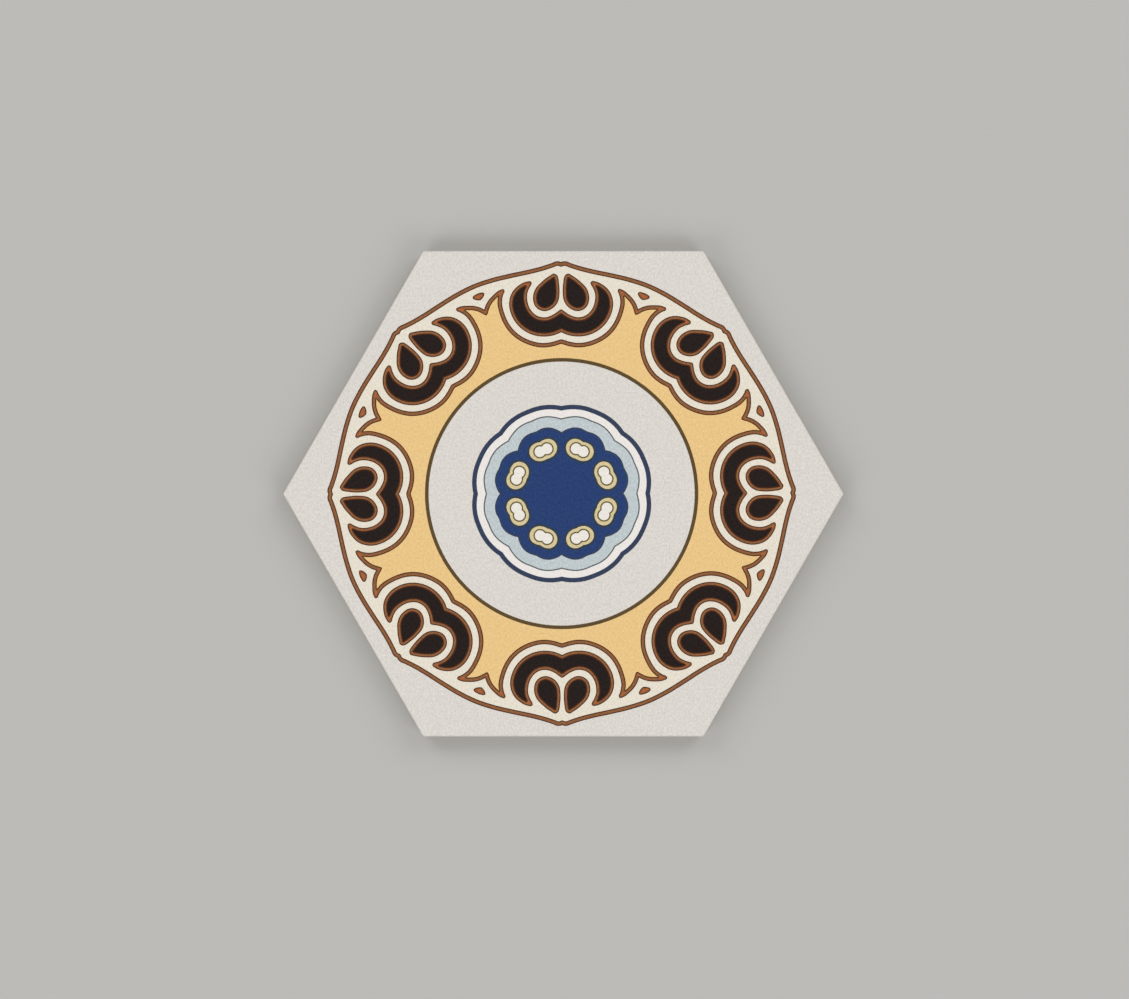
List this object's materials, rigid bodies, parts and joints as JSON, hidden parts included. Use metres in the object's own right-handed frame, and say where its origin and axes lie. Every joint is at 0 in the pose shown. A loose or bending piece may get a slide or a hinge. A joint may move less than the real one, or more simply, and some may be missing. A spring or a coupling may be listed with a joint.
{
  "type": "hexagonal floor tile",
  "caption": "Flat hexagonal glazed porcelain floor tile with rounded face edges, tapered sides and a honeycomb keyed back, for laying in adhesive with grouted joints.",
  "frame": {"origin": "middle of the keyed back, on the plane of its ribs, which is the plane that the tile lies on", "axes": "+Z out of the glazed face, +X to a corner, +Y square to a flat side"},
  "size_m": [0.2306, 0.2, 0.009],
  "materials": {
    "ground_glaze": "matt speckled pale grey glaze over a porcelain body",
    "cream_print": "matt cream printed glaze",
    "amber_print": "matt amber yellow printed glaze",
    "straw_print": "matt straw yellow printed glaze",
    "black_print": "matt warm black printed glaze",
    "brown_print": "matt brown printed line",
    "umber_print": "matt dark umber edge of a printed line",
    "rust_print": "matt rust red printed drop or spot",
    "bronze_print": "matt bronze brown printed line",
    "olive_print": "matt olive printed line",
    "navy_print": "matt navy blue printed glaze",
    "slate_print": "matt slate blue printed line",
    "ink_print": "matt blue black printed line",
    "grey_print": "matt grey printed line",
    "pale_blue_print": "matt speckled pale blue printed glaze",
    "white_print": "matt white printed glaze"
  },
  "bodies": {
    "root": {"hexagon_tile": "ground_glaze"}
  },
  "joints": []
}
